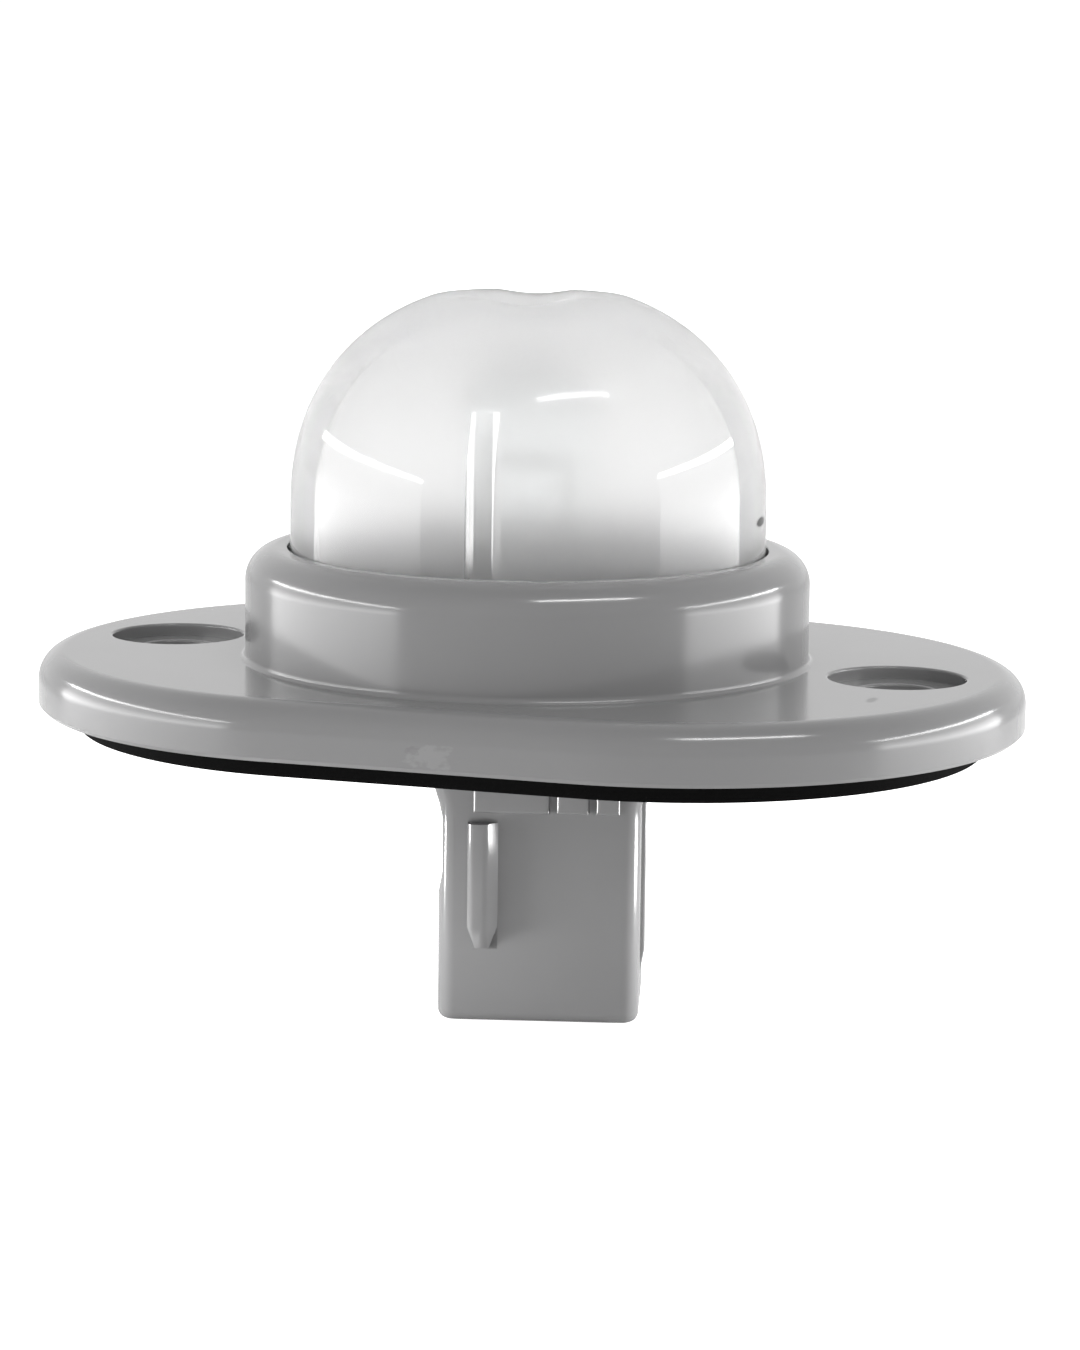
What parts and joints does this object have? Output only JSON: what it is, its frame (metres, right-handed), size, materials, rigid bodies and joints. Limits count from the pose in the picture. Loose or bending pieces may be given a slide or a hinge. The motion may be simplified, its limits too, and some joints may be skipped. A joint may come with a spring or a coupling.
{
  "type": "number plate lamp",
  "caption": "Capsule-flanged lamp with a clear domed lens in a round collar, a wedge bulb inside, a black gasket and a keyed plug connector below.",
  "frame": {"origin": "midway between the two screw holes, on the gasket's underside, which is the mounting face", "axes": "+X along the two screws, +Y across the flange, +Z out of the mounting face towards the lens's crown"},
  "size_m": [0.0716, 0.05, 0.0517],
  "materials": {
    "housing_plastic": "glossy mid-grey moulding with rounded edges",
    "gasket_rubber": "dull black sponge rubber",
    "seal_rubber": "dull black rubber",
    "lens_plastic": "clear, slightly milky acrylic",
    "bulb_glass": "clear thin glass",
    "holder_plastic": "dark grey heat-resistant plastic",
    "contact_brass": "stamped brass strip",
    "lead_steel": "bright drawn wire",
    "filament_wire": "dark coiled tungsten wire"
  },
  "bodies": {
    "root": {"housing": "housing_plastic", "flange_gasket": "gasket_rubber", "lens": "lens_plastic", "lens_seal": "seal_rubber", "bulb_holder": "holder_plastic", "left_contact": "contact_brass", "right_contact": "contact_brass", "bulb_glass": "bulb_glass", "left_lead_wire": "lead_steel", "right_lead_wire": "lead_steel", "filament": "filament_wire"}
  },
  "joints": []
}
